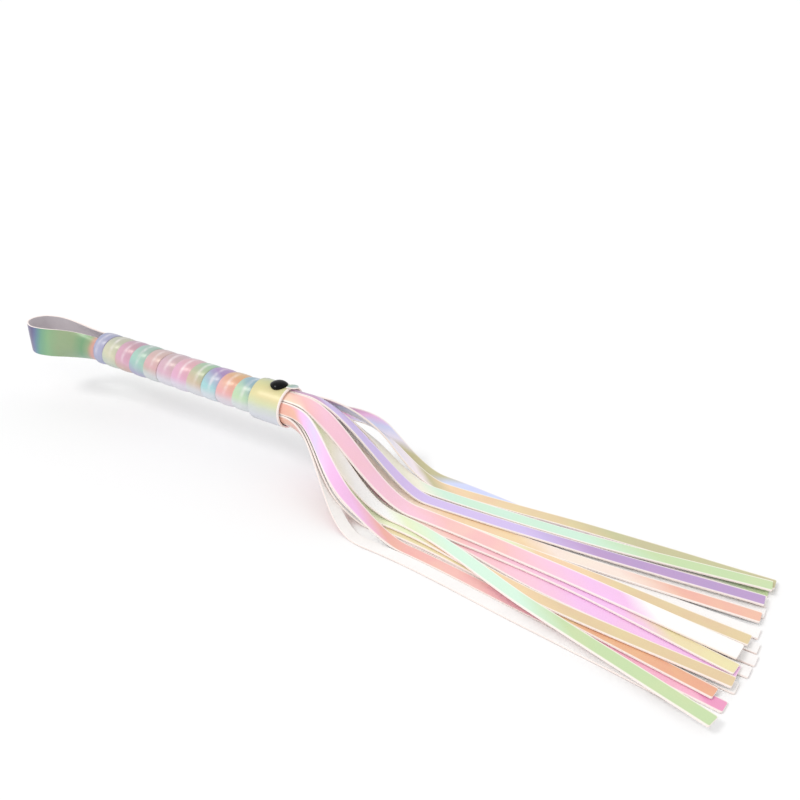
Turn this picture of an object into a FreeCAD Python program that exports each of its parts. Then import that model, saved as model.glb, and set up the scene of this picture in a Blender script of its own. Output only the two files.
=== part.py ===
"""Tassel whip: a wrapped grip with a wrist loop, a riveted collar and a fringe of flat falls.

Millimetres. The origin is on the grip's axis, half way along the grip. +X runs along the grip to
the falls, +Y is to the left and +Z is up. The grip is held level, and the falls drape from the
collar's mouth down to a table, where they lie flat in a few layers.
"""

import FreeCAD, Part
import math
import os
from collections import namedtuple

V = FreeCAD.Vector
X_AXIS = V(1, 0, 0)
Y_AXIS = V(0, 1, 0)
Z_AXIS = V(0, 0, 1)

# Handle
MOUTH_X = 100.0
BUTT_X = -78.0
TABLE_Z = -47.0
ROD_RADIUS = 7.0
TENON_RADIUS = 2.8
TENON_LENGTH = 19.0
FOAM_RADIUS = 9.6
WRAP_INNER_RADIUS = 10.7
WRAP_VALLEY_RADIUS = 11.5
WRAP_CREST_RADIUS = 12.3
WRAP_TURNS = 11
BUTT_DISC_THICKNESS = 2.0
BUTT_DISC_RADIUS = 9.4
FIT_GAP = 0.05

# Collar, header and rivet
COLLAR_RADIUS = 14.25
COLLAR_WALL = 1.2
COLLAR_LENGTH = 26.0
HEADER_REAR_SETBACK = 1.5
HEADER_FRONT_SETBACK = 6.5
HEADER_INNER_RADIUS = 3.5
HEADER_PITCH = 2.3
SHEET_THICKNESS = 1.2
RIVET_SETBACK = 9.2
RIVET_HEAD_RADIUS = 7.2
RIVET_HEAD_HEIGHT = 2.8
RIVET_POST_RADIUS = 1.5
RIVET_POST_DEPTH = 1.6

# Wrist loop
LOOP_HEIGHT = 23.0
LOOP_THICKNESS = 1.2
LOOP_ROUTE = [(-7.2, -10.2), (-20, -11.4), (-33, -13.8), (-46, -17.6), (-60, -19.2), (-70, -14.6),
              (-72.4, -6.6), (-67, 1.2), (-54, 5.4), (-38, 7.2), (-22, 8.6), (-7.2, 10.0)]
ROUTE_SAMPLES = 48
TAB_OUTER_RADIUS = 10.6
TAB_LENGTH = 26.0
TAB_SIDE_GAP = 3.0
TAB_END_GAP = 1.0
TACK_RADIUS = 0.9
TACK_SETBACK = 14.0
TACK_DEPTH = 5.0

# Falls
FALL_START = 5.0
ROOT_WIDTH = 7.6
LAYER_PITCH = SHEET_THICKNESS + 0.35
WIDEN_LENGTH = 60.0
UNTWIST_LEAD = 5.0
FAN_X = 90.0
LANDED_X = 112.0
BEND_STEPS = 18
FLAT_STEPS = 7
TANGENT_STEP = 0.5
MIDDLE_X = 200.0
END_X = 300.0
RING_RADIUS = {1: 11.6, 2: 9.3, 3: 6.9, 4: 3.4, 5: 0.0}

# Where a fall starts to drop and where it has landed. A fall whose root is higher in the roll, or
# further to the left, starts and lands later.
DROP_START = 6.0
DROP_START_PER_RISE = 0.45
DROP_END = 90.0
DROP_END_PER_RISE = 0.95
LATER_PER_LEFT = 0.55
EARLY_SHARE = 0.6

# ring and angle place a fall's root in the rolled header, angle 0 being the top and + the left.
# layer counts up from the table. fan, middle and end are the fall's Y where the bundle has
# spread, half way along and at the far end. turn is the roll that it lies down with. late moves
# its way down to the table outwards, and spread is the distance at which it reaches its fan Y.
Fall = namedtuple("Fall", "name ring angle layer width fan middle end reach turn late spread")
FALLS = [
    Fall("fall_01", 1, 112.5, 0, 9.0, 39.8, 31.5, 36.0, 304, 180, 3.5, 49),
    Fall("fall_02", 1, 67.5, 1, 9.0, 29.4, 37.5, 43.0, 306, 0, 0.5, 64),
    Fall("fall_03", 2, 120, 0, 8.4, 24.9, 22.3, 27.0, 305, 180, -3.5, 68),
    Fall("fall_04", 2, 60, 2, 9.0, 20.1, 25.0, 38.5, 305, 0, -3.5, 58),
    Fall("fall_05", 3, 135, 0, 8.4, 16.1, 13.0, 17.6, 306, 180, 3.0, 68),
    Fall("fall_06", 1, 22.5, 2, 9.0, 9.5, 15.0, 24.0, 304, 0, -1.0, 79),
    Fall("fall_07", 1, 157.5, 0, 8.4, 7.3, 1.5, -0.2, 307, 180, -5.0, 68),
    Fall("fall_08", 3, 45, 1, 9.0, 4.3, 5.0, 11.0, 305, 0, -0.5, 78),
    Fall("fall_09", 2, 180, 0, 8.4, -1.5, -8.8, -11.4, 309, 180, 0.5, 68),
    Fall("fall_10", 2, 0, 2, 9.0, -5.2, -6.0, -11.2, 304, 0, 0.5, 78),
    Fall("fall_11", 1, -22.5, 3, 12.0, -7.6, -14.0, -24.0, 302, 0, 0.5, 77),
    Fall("fall_12", 5, 0, 1, 12.0, -9.0, -27.5, -36.0, 304, 0, 0.0, 78),
    Fall("fall_13", 1, -157.5, 0, 8.4, -10.3, -18.0, -20.8, 310, -180, -5.0, 64),
    Fall("fall_14", 4, 0, 2, 8.8, -14.6, -19.0, -35.0, 303, 0, -2.5, 78),
    Fall("fall_15", 2, -60, 3, 9.0, -19.3, -49.0, -75.5, 302, 0, 0.5, 79),
    Fall("fall_16", 4, 180, 0, 8.4, -19.2, -27.5, -30.5, 309, -180, 1.0, 84),
    Fall("fall_17", 3, -45, 2, 8.4, -24.0, -39.5, -44.8, 304, 0, -4.0, 80),
    Fall("fall_18", 2, -120, 0, 8.4, -27.9, -38.5, -44.5, 306, -180, -1.0, 63),
    Fall("fall_19", 3, -135, 1, 8.4, -27.6, -40.5, -55.5, 298, -180, 3.0, 65),
    Fall("fall_20", 1, -67.5, 0, 8.4, -36.9, -48.0, -59.5, 304, 0, 18.5, 72),
    Fall("fall_21", 1, -112.5, 0, 8.0, -45.6, -56.6, -68.3, 288, -180, -4.0, 90),
]


def ease(t):
    """A smooth step from 0 to 1."""
    t = min(max(t, 0.0), 1.0)
    return t * t * (3 - 2 * t)


def hermite(t, start, end, start_slope, end_slope):
    """A cubic from start to end over t from 0 to 1."""
    bend = (t * t * t - 2 * t * t + t) * start_slope + (t * t * t - t * t) * end_slope
    return start + (end - start) * ease(t) + bend


def across(fall, x):
    """The fall's Y at a distance x in front of the mouth."""
    root = RING_RADIUS[fall.ring] * math.sin(math.radians(fall.angle))
    if x < FAN_X:
        return root + (fall.fan - root) * ease((x - FALL_START) / (fall.spread - FALL_START))
    near = MIDDLE_X - FAN_X
    far = END_X - MIDDLE_X
    near_slope = (fall.middle - fall.fan) / near
    far_slope = (fall.end - fall.middle) / far
    middle_slope = (near_slope + far_slope) / 2
    if x < MIDDLE_X:
        return hermite((x - FAN_X) / near, fall.fan, fall.middle, 0, middle_slope * near)
    if x < END_X:
        return hermite((x - MIDDLE_X) / far, fall.middle, fall.end, middle_slope * far, far_slope * far)
    return fall.end + far_slope * (x - END_X)


def root_height(fall):
    return RING_RADIUS[fall.ring] * math.cos(math.radians(fall.angle))


def left_delay(fall):
    """How much further out a fall on the left comes down."""
    return LATER_PER_LEFT * max(RING_RADIUS[fall.ring] * math.sin(math.radians(fall.angle)), 0)


def landing(fall):
    """Where the fall reaches the table, as a distance in front of the mouth."""
    return DROP_END + DROP_END_PER_RISE * root_height(fall) + left_delay(fall) + fall.late


def height(fall, x):
    """The fall's height above the grip's axis at a distance x in front of the mouth."""
    root = root_height(fall)
    rest = TABLE_Z + SHEET_THICKNESS / 2 + fall.layer * LAYER_PITCH
    start = DROP_START + DROP_START_PER_RISE * root + left_delay(fall) + EARLY_SHARE * fall.late
    return rest + (root - rest) * (1 - ease((x - start) / (landing(fall) - start)))


def roll(fall, x):
    """The fall's roll about its own line, from its place in the roll to lying flat as it lands."""
    root = fall.turn if fall.ring >= 4 else fall.angle
    untwisted = ease((x - FALL_START) / (landing(fall) - UNTWIST_LEAD - FALL_START))
    return math.radians(root + (fall.turn - root) * untwisted)


def fall_point(fall, x):
    return V(MOUTH_X + x, across(fall, x), height(fall, x))


def fall_section(fall, x):
    """The fall's rectangular section, square to its line."""
    before = fall_point(fall, max(x - TANGENT_STEP, FALL_START))
    along = (fall_point(fall, x + TANGENT_STEP) - before).normalize()
    upright = (Z_AXIS - along * along.z).normalize()
    sideways = upright.cross(along)
    turn = roll(fall, x)
    face = upright * math.cos(turn) + sideways * math.sin(turn)
    edge = sideways * math.cos(turn) - upright * math.sin(turn)
    full = ROOT_WIDTH + (fall.width - ROOT_WIDTH) * ease((x - FALL_START) / WIDEN_LENGTH)
    centre = fall_point(fall, x)
    half_edge = edge * (full / 2)
    half_face = face * (SHEET_THICKNESS / 2)
    corners = [centre - half_edge - half_face, centre + half_edge - half_face,
               centre + half_edge + half_face, centre - half_edge + half_face]
    return Part.makePolygon(corners + [corners[0]])


def fall_solid(fall):
    """A fall as a loft through sections that are close together where it bends."""
    stations = [FALL_START + (LANDED_X - FALL_START) * i / BEND_STEPS for i in range(BEND_STEPS)]
    stations += [LANDED_X + (fall.reach - LANDED_X) * i / FLAT_STEPS for i in range(FLAT_STEPS + 1)]
    return Part.makeLoft([fall_section(fall, x) for x in stations], True, False)


def tube(start_x, end_x, outer, inner=0.0):
    """A tube or rod about the grip's axis."""
    solid = Part.makeCylinder(outer, end_x - start_x, V(start_x, 0, 0), X_AXIS)
    if inner > 0:
        solid = solid.cut(Part.makeCylinder(inner, end_x - start_x, V(start_x, 0, 0), X_AXIS))
    return solid


def core_rod():
    """The wooden rod, with a slim tenon that the fringe's header is rolled round."""
    shoulder = MOUTH_X - COLLAR_LENGTH
    rod = tube(BUTT_X, shoulder, ROD_RADIUS).fuse(tube(BUTT_X, shoulder + TENON_LENGTH, TENON_RADIUS))
    hole = Part.makeCylinder(RIVET_POST_RADIUS + FIT_GAP, ROD_RADIUS,
                             V(MOUTH_X - RIVET_SETBACK, 0, TENON_RADIUS - RIVET_POST_DEPTH), Z_AXIS)
    return rod.cut(hole).cut(tack_hole()).removeSplitter()


def foam_sleeve():
    """Padding under the wrap, thinner at the butt, where the strap's ends lie over it."""
    tab_end = BUTT_X + TAB_LENGTH + TAB_END_GAP
    thin = tube(BUTT_X, tab_end, FOAM_RADIUS, ROD_RADIUS + FIT_GAP)
    thick = tube(tab_end, MOUTH_X - COLLAR_LENGTH, WRAP_INNER_RADIUS - FIT_GAP, ROD_RADIUS + FIT_GAP)
    return thin.fuse(thick).cut(tack_hole()).removeSplitter()


def grip_wrap():
    """The wound strip as one sleeve with a rounded ridge for each turn."""
    start = BUTT_X
    end = MOUTH_X - COLLAR_LENGTH - FIT_GAP
    turn = (end - start) / WRAP_TURNS
    edges = []
    for i in range(WRAP_TURNS):
        left = start + i * turn
        edges.append(Part.Arc(V(left, 0, WRAP_VALLEY_RADIUS), V(left + turn / 2, 0, WRAP_CREST_RADIUS),
                              V(left + turn, 0, WRAP_VALLEY_RADIUS)).toShape())
    corners = [V(end, 0, WRAP_VALLEY_RADIUS), V(end, 0, WRAP_INNER_RADIUS),
               V(start, 0, WRAP_INNER_RADIUS), V(start, 0, WRAP_VALLEY_RADIUS)]
    for a, b in zip(corners, corners[1:]):
        edges.append(Part.makeLine(a, b))
    return Part.Face(Part.Wire(edges)).revolve(V(0, 0, 0), X_AXIS, 360)


def butt_disc():
    """The leather disc that closes the grip's end."""
    return tube(BUTT_X - BUTT_DISC_THICKNESS, BUTT_X, BUTT_DISC_RADIUS)


def collar_band():
    """The smooth band over the header, with a hole for the rivet."""
    band = tube(MOUTH_X - COLLAR_LENGTH, MOUTH_X, COLLAR_RADIUS, COLLAR_RADIUS - COLLAR_WALL)
    return band.cut(rivet_hole(COLLAR_RADIUS - 2 * COLLAR_WALL))


def fringe_header():
    """The uncut edge of the falls' sheet, rolled up in a spiral of half circles."""
    shift = HEADER_PITCH / 4
    last_radius = COLLAR_RADIUS - COLLAR_WALL - SHEET_THICKNESS - shift - 2 * FIT_GAP
    inner_edges = []
    outer_edges = []
    radius = HEADER_INNER_RADIUS
    side = 1
    while radius <= last_radius:
        centre = V(0, side * shift, 0)
        for edges, r in ((inner_edges, radius), (outer_edges, radius + SHEET_THICKNESS)):
            edges.append(Part.Arc(centre + V(0, -side * r, 0), centre + V(0, 0, side * r),
                                  centre + V(0, side * r, 0)).toShape())
        radius += HEADER_PITCH / 2
        side = -side
    inner = Part.Wire(inner_edges)
    outer = Part.Wire(outer_edges)
    caps = [Part.makeLine(inner_edges[0].Vertexes[0].Point, outer_edges[0].Vertexes[0].Point),
            Part.makeLine(inner_edges[-1].Vertexes[-1].Point, outer_edges[-1].Vertexes[-1].Point)]
    outline = Part.Wire(Part.__sortEdges__(inner.Edges + outer.Edges + caps))
    length = COLLAR_LENGTH - HEADER_REAR_SETBACK - HEADER_FRONT_SETBACK
    face = Part.Face(outline)
    face.translate(V(MOUTH_X - COLLAR_LENGTH + HEADER_REAR_SETBACK, 0, 0))
    return face.extrude(V(length, 0, 0)).cut(rivet_hole(0))


def rivet_hole(from_z):
    """What the rivet's hole takes away, upwards from a height above the grip's axis."""
    return Part.makeCylinder(RIVET_POST_RADIUS + FIT_GAP, 2 * COLLAR_RADIUS,
                             V(MOUTH_X - RIVET_SETBACK, 0, from_z), Z_AXIS)


def rivet_cap():
    """The rivet's domed head, hollowed underneath to sit on the round collar."""
    seat = COLLAR_RADIUS + FIT_GAP
    base = math.sqrt(seat * seat - RIVET_HEAD_RADIUS * RIVET_HEAD_RADIUS)
    rise = COLLAR_RADIUS + RIVET_HEAD_HEIGHT - base
    ball = (RIVET_HEAD_RADIUS ** 2 + rise ** 2) / (2 * rise)
    sphere = Part.makeSphere(ball, V(MOUTH_X - RIVET_SETBACK, 0, base + rise - ball))
    drum = Part.makeCylinder(RIVET_HEAD_RADIUS, 2 * rise, V(MOUTH_X - RIVET_SETBACK, 0, base), Z_AXIS)
    return sphere.common(drum).cut(tube(MOUTH_X - COLLAR_LENGTH, MOUTH_X, seat))


def rivet_post():
    """The rivet's post, from under its head down into the rod's tenon."""
    bottom = TENON_RADIUS - RIVET_POST_DEPTH
    return Part.makeCylinder(RIVET_POST_RADIUS, COLLAR_RADIUS - 2 * FIT_GAP - bottom,
                             V(MOUTH_X - RIVET_SETBACK, 0, bottom), Z_AXIS)


def strap_tabs():
    """The strap's two ends, curved round the padded rod under the wrap."""
    ring = tube(BUTT_X + FIT_GAP, BUTT_X + TAB_LENGTH, TAB_OUTER_RADIUS, FOAM_RADIUS + FIT_GAP)
    reach = TAB_OUTER_RADIUS * math.sin(LOOP_HEIGHT / 2 / TAB_OUTER_RADIUS)
    solids = []
    for side_y in (-TAB_OUTER_RADIUS - TAB_SIDE_GAP / 2, TAB_SIDE_GAP / 2):
        side = Part.makeBox(TAB_LENGTH, TAB_OUTER_RADIUS, 2 * reach, V(BUTT_X, side_y, -reach))
        solids += ring.common(side).cut(tack_hole()).Solids
    return Part.makeCompound(solids)


def tack_hole():
    """What the tack's hole takes away, from the near side of the grip into the rod."""
    return Part.makeCylinder(TACK_RADIUS + FIT_GAP, WRAP_CREST_RADIUS - ROD_RADIUS + TACK_DEPTH,
                             V(BUTT_X + TACK_SETBACK, -WRAP_CREST_RADIUS, 0), Y_AXIS)


def strap_tack():
    """A headless tack through the near end of the strap and the foam into the rod."""
    outer_y = WRAP_INNER_RADIUS - FIT_GAP
    return Part.makeCylinder(TACK_RADIUS, outer_y - ROD_RADIUS + TACK_DEPTH,
                             V(BUTT_X + TACK_SETBACK, -outer_y, 0), Y_AXIS)


def wrist_loop():
    """The strap's free loop: a band on edge along a smooth closed route."""
    route = Part.BSplineCurve()
    route.interpolate([V(BUTT_X + x, y, 0) for x, y in LOOP_ROUTE])
    span = route.LastParameter - route.FirstParameter
    sides = {1: [], -1: []}
    for i in range(ROUTE_SAMPLES + 1):
        at = route.FirstParameter + span * i / ROUTE_SAMPLES
        tangent = route.tangent(at)[0]
        normal = Z_AXIS.cross(tangent).normalize()
        for side in sides:
            sides[side].append(route.value(at) + normal * (side * LOOP_THICKNESS / 2))
    edges = []
    for points in sides.values():
        curve = Part.BSplineCurve()
        curve.interpolate(points)
        edges.append(curve.toShape())
    for index in (0, -1):
        edges.append(Part.makeLine(sides[1][index], sides[-1][index]))
    face = Part.Face(Part.Wire(Part.__sortEdges__(edges)))
    face.translate(V(0, 0, -LOOP_HEIGHT / 2))
    return face.extrude(V(0, 0, LOOP_HEIGHT))


NODES = {
    "core_rod": core_rod,
    "foam_sleeve": foam_sleeve,
    "grip_wrap": grip_wrap,
    "butt_disc": butt_disc,
    "collar_band": collar_band,
    "fringe_header": fringe_header,
    "rivet_cap": rivet_cap,
    "rivet_post": rivet_post,
    "strap_tabs": strap_tabs,
    "strap_tack": strap_tack,
    "wrist_loop": wrist_loop,
}


def main():
    os.makedirs("parts", exist_ok=True)
    shapes = {name: make() for name, make in NODES.items()}
    shapes.update({fall.name: fall_solid(fall) for fall in FALLS})
    for name, shape in shapes.items():
        shape.exportStep(os.path.join("parts", name + ".step"))
        print(name, "valid", shape.isValid(), "solids", len(shape.Solids), "volume", round(shape.Volume, 1))


main()
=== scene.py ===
"""A pearlescent tassel whip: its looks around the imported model, a pale floor, soft light and a camera.

Metres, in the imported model's frame: +X runs from the grip to the falls, +Y is left and +Z is up, with
the origin on the grip's axis. Small sizes are written in millimetres times MM.
"""
import math
from collections import namedtuple

import bmesh
import bpy
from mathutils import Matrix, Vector


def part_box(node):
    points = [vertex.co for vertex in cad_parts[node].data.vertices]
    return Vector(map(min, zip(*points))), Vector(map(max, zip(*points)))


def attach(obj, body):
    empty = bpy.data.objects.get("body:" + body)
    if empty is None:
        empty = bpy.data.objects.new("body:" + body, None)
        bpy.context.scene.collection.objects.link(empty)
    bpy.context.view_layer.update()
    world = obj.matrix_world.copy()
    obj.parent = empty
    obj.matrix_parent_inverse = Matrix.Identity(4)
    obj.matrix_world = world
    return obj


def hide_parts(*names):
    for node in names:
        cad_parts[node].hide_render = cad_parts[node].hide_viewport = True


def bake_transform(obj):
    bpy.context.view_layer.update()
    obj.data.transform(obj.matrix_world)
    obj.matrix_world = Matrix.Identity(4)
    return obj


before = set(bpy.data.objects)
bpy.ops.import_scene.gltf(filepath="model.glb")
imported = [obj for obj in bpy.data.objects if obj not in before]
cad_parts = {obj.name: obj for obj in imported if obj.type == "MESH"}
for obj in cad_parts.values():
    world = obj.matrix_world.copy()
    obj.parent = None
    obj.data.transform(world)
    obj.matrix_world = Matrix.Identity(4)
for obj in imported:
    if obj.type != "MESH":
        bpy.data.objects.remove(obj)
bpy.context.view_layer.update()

MM = 0.001
UP = Vector((0, 0, 1))

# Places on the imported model
MOUTH_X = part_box("collar_band")[1].x
COLLAR_REAR_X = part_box("collar_band")[0].x
COLLAR_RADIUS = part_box("collar_band")[1].z
BUTT_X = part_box("grip_wrap")[0].x
WRAP_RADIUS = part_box("grip_wrap")[1].z
TABLE_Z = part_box("fall_01")[0].z
RIVET_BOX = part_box("rivet_cap")
LOOP_HALF_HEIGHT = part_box("wrist_loop")[1].z

STRIP_UV = "Strip"
FILM, CLOTH, EDGE = 0, 1, 2


# ---------------------------------------------------------------- colours

def chart(red, green, blue):
    """A colour from 0 to 255 a channel, as on a paint chart, in linear light."""
    return tuple((c / 255) ** 2.2 for c in (red, green, blue)) + (1.0,)


PAINT = {
    "olive": chart(200, 192, 144),
    "tan": chart(228, 198, 150),
    "apricot": chart(246, 208, 160),
    "orange": chart(236, 168, 124),
    "peach": chart(250, 204, 180),
    "shell": chart(250, 228, 214),
    "salmon": chart(242, 172, 154),
    "coral": chart(250, 186, 184),
    "pink": chart(252, 194, 216),
    "rose": chart(248, 172, 198),
    "deep_rose": chart(238, 140, 186),
    "orchid": chart(248, 188, 238),
    "plum": chart(206, 142, 186),
    "lilac": chart(210, 184, 240),
    "lavender": chart(228, 206, 248),
    "violet": chart(184, 144, 202),
    "periwinkle": chart(206, 212, 252),
    "frost": chart(236, 230, 250),
    "blush": chart(252, 234, 242),
    "mint": chart(204, 238, 214),
    "pale_mint": chart(214, 246, 224),
    "leaf": chart(198, 220, 164),
    "lime": chart(232, 242, 196),
    "butter": chart(238, 222, 168),
    "cream": chart(248, 242, 222),
    "pearl": chart(252, 250, 250),
}


# ---------------------------------------------------------------- materials

def blank(name, **settings):
    """A material with one Principled shader, whose fixed settings are given by socket name."""
    material = bpy.data.materials.new(name)
    material.use_nodes = True
    shader = material.node_tree.nodes["Principled BSDF"]
    for key, value in settings.items():
        shader.inputs[key.replace("_", " ")].default_value = value
    return material, material.node_tree, shader


def node(tree, kind, inputs=None, **settings):
    """A new node. An input given as a socket is linked, and any other is set."""
    made = tree.nodes.new("ShaderNode" + kind)
    for key, value in settings.items():
        setattr(made, key, value)
    for key, value in (inputs or {}).items():
        if isinstance(value, bpy.types.NodeSocket):
            tree.links.new(value, made.inputs[key])
        else:
            made.inputs[key].default_value = value
    return made


def maths(tree, operation, *values):
    return node(tree, "Math", dict(enumerate(values)), operation=operation).outputs[0]


def noise(tree, where, scale, detail=2.0):
    return node(tree, "TexNoise", {"Vector": where, "Scale": scale, "Detail": detail}).outputs["Fac"]


def spread(tree, value, low, high):
    """A value that runs from 0 to 1, stretched to run from low to high."""
    return maths(tree, "MULTIPLY_ADD", value, high - low, low)


def smooth_range(tree, value, start, end, low, high):
    """A value from start to end, turned into one that eases from low to high."""
    ends = {0: value, 1: start, 2: end, 3: low, 4: high}
    return node(tree, "MapRange", ends, interpolation_type="SMOOTHSTEP").outputs[0]


def ramp(tree, place, stops):
    """A colour ramp through (place, colour) stops."""
    made = node(tree, "ValToRGB", {"Fac": place})
    elements = made.color_ramp.elements
    elements[0].position, elements[0].color = stops[0]
    elements[1].position, elements[1].color = stops[-1]
    for position, colour in stops[1:-1]:
        elements.new(position).color = colour
    return made.outputs["Color"]


def blend_colours(tree, share, first, second, kind="MIX"):
    made = node(tree, "Mix", {0: share, 6: first, 7: second}, data_type="RGBA", blend_type=kind)
    return made.outputs[2]


def object_place(tree):
    return node(tree, "TexCoord").outputs["Object"]


def strip_place(tree):
    """Where a point is along its strip and across it, each from 0 to 1."""
    axes = node(tree, "SeparateXYZ", {"Vector": node(tree, "UVMap", uv_map=STRIP_UV).outputs["UV"]})
    return axes.outputs["X"], axes.outputs["Y"]


def leather_surface(tree, shader, grain_depth=0.035 * MM, crease_depth=0.10 * MM):
    """The film's fine pebbled grain over shallow creases, and its uneven gloss."""
    where = object_place(tree)
    creases = noise(tree, where, 190.0, 3.0)
    pebbles = node(tree, "TexVoronoi", {"Vector": where, "Scale": 1300.0}).outputs["Distance"]
    crease_bump = node(tree, "Bump", {"Height": creases, "Distance": crease_depth, "Strength": 0.6})
    grain_bump = node(tree, "Bump", {"Height": pebbles, "Distance": grain_depth, "Strength": 0.5,
                                     "Normal": crease_bump.outputs["Normal"]})
    tree.links.new(grain_bump.outputs["Normal"], shader.inputs["Normal"])
    gloss = spread(tree, noise(tree, where, 420.0), 0.26, 0.46)
    tree.links.new(gloss, shader.inputs["Roughness"])


def shimmer(tree, colour):
    """The film's small shifts of hue in patches and its glitter of lighter and darker specks."""
    where = object_place(tree)
    hue = spread(tree, noise(tree, where, 60.0), 0.47, 0.53)
    value = spread(tree, noise(tree, where, 2400.0, 1.0), 0.89, 1.01)
    return node(tree, "HueSaturation", {"Color": colour, "Hue": hue, "Saturation": FILM_SATURATION,
                                        "Value": value}).outputs["Color"]


MARGIN_COLOUR = chart(253, 244, 238)
MARGIN_STRENGTH = 0.85
FILM_SATURATION = 0.90
PEARL = {"Coat_Weight": 0.35, "Coat_Roughness": 0.22, "Coat_IOR": 1.5, "Specular_IOR_Level": 0.55,
         "Thin_Film_Thickness": 430.0, "Thin_Film_IOR": 1.45, "Metallic": 0.0}


def pearl_film(name, stops, skew=0.05, drift=0.05, margin=0.0):
    """Pearlescent film whose colours change along the strip. skew slants the changes across it, and
    margin is the share of the strip's width over which the film pales towards each cut edge."""
    material, tree, shader = blank(name, **PEARL)
    along, across = strip_place(tree)
    uneven = spread(tree, noise(tree, object_place(tree), 45.0), -drift / 2, drift / 2)
    slanted = maths(tree, "MULTIPLY_ADD", across, skew, along)
    place = maths(tree, "ADD", maths(tree, "ADD", slanted, -skew / 2), uneven)
    colour = shimmer(tree, ramp(tree, place, stops))
    if margin:
        inset = maths(tree, "PINGPONG", across, 0.5)
        pale = smooth_range(tree, inset, 0.0, margin, MARGIN_STRENGTH, 0.0)
        colour = blend_colours(tree, pale, colour, MARGIN_COLOUR)
    tree.links.new(colour, shader.inputs["Base Color"])
    leather_surface(tree, shader)
    return material


def backing_cloth(name, colour, threads_along, threads_across):
    """The film's knitted backing, in rows of small stitches."""
    material, tree, shader = blank(name, Roughness=0.92, Sheen_Weight=0.25, Sheen_Roughness=0.5)
    along, across = strip_place(tree)
    rows = maths(tree, "SINE", maths(tree, "MULTIPLY", along, 2 * math.pi * threads_along))
    columns = maths(tree, "SINE", maths(tree, "MULTIPLY", across, 2 * math.pi * threads_across))
    stitches = spread(tree, maths(tree, "MULTIPLY", rows, columns), 0.5, 1.0)
    shade = blend_colours(tree, noise(tree, object_place(tree), 120.0), colour,
                          tuple(0.93 * c for c in colour[:3]) + (1.0,))
    stitched = blend_colours(tree, spread(tree, stitches, 0.0, 0.04), shade, (0.45, 0.43, 0.42, 1.0))
    tree.links.new(stitched, shader.inputs["Base Color"])
    bump = node(tree, "Bump", {"Height": stitches, "Distance": 0.05 * MM, "Strength": 0.5})
    tree.links.new(bump.outputs["Normal"], shader.inputs["Normal"])
    return material


def mottled(name, first, second, scale, bump_depth, **settings):
    """A plain material with two colours in patches and a matching bump."""
    material, tree, shader = blank(name, **settings)
    patches = noise(tree, object_place(tree), scale, 4.0)
    tree.links.new(blend_colours(tree, patches, first, second), shader.inputs["Base Color"])
    bump = node(tree, "Bump", {"Height": patches, "Distance": bump_depth, "Strength": 0.6})
    tree.links.new(bump.outputs["Normal"], shader.inputs["Normal"])
    return material


def dowel_wood():
    """Straight grain along the grip."""
    material, tree, shader = blank("rod_wood", Roughness=0.6)
    stretched = node(tree, "Mapping", {"Vector": object_place(tree), "Scale": (12.0, 260.0, 260.0)})
    grain = noise(tree, stretched.outputs["Vector"], 1.0, 5.0)
    stops = [(0.3, chart(176, 138, 92)), (0.5, chart(206, 170, 120)), (0.7, chart(222, 192, 148))]
    colour = ramp(tree, grain, stops)
    tree.links.new(colour, shader.inputs["Base Color"])
    return material


def rivet_black():
    """Glossy black lacquer with faint orange peel and small scuffs."""
    material, tree, shader = blank("rivet_black", Specular_IOR_Level=0.12, Coat_Weight=0.0)
    where = object_place(tree)
    scuffs = noise(tree, where, 900.0, 4.0)
    stops = [(0.55, (0.002, 0.002, 0.002, 1)), (0.8, (0.012, 0.011, 0.010, 1))]
    tree.links.new(ramp(tree, scuffs, stops), shader.inputs["Base Color"])
    tree.links.new(spread(tree, scuffs, 0.08, 0.22), shader.inputs["Roughness"])
    peel = noise(tree, where, 500.0)
    bump = node(tree, "Bump", {"Height": peel, "Distance": 0.02 * MM, "Strength": 0.3})
    tree.links.new(bump.outputs["Normal"], shader.inputs["Normal"])
    return material


CLOTH_MATERIAL = backing_cloth("fall_backing", chart(250, 247, 245), 500, 14)
STRAP_CLOTH = backing_cloth("strap_backing", chart(202, 194, 198), 260, 38)
EDGE_MATERIAL = mottled("cut_edge", chart(252, 244, 238), chart(244, 226, 220), 1500.0, 0.06 * MM,
                        Roughness=0.85)


# ---------------------------------------------------------------- meshes

def sharpen(mesh_in_work):
    """Edges between two materials stay crisp under smooth shading."""
    for edge in mesh_in_work.edges:
        faces = edge.link_faces
        edge.smooth = len(faces) == 2 and faces[0].material_index == faces[1].material_index


def finish_mesh(name, mesh_in_work, materials):
    """An object in the scene from finished geometry."""
    bmesh.ops.recalc_face_normals(mesh_in_work, faces=mesh_in_work.faces)
    for face in mesh_in_work.faces:
        face.smooth = True
    sharpen(mesh_in_work)
    mesh = bpy.data.meshes.new(name)
    mesh_in_work.to_mesh(mesh)
    mesh_in_work.free()
    for material in materials:
        mesh.materials.append(material)
    piece = bpy.data.objects.new(name, mesh)
    bpy.context.scene.collection.objects.link(piece)
    return piece


def loft(name, rings, alongs, acrosses, kinds, materials, closed=False):
    """A piece through rings of points. alongs and acrosses place the rings and the points on the
    strip, with one more value each where they close, and kinds gives the material after each point."""
    work = bmesh.new()
    layer = work.loops.layers.uv.new(STRIP_UV)
    verts = [[work.verts.new(point) for point in ring] for ring in rings]
    count = len(rings[0])
    for i in range(len(rings) if closed else len(rings) - 1):
        near, far = verts[i], verts[(i + 1) % len(rings)]
        for j in range(count):
            k = (j + 1) % count
            face = work.faces.new((near[j], near[k], far[k], far[j]))
            face.material_index = kinds[j]
            places = ((i, j), (i, j + 1), (i + 1, j + 1), (i + 1, j))
            for loop, (a, b) in zip(face.loops, places):
                loop[layer].uv = (alongs[a], acrosses[b])
    if not closed:
        for ring in (verts[0], verts[-1]):
            work.faces.new(ring).material_index = EDGE
    return finish_mesh(name, work, materials)


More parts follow.
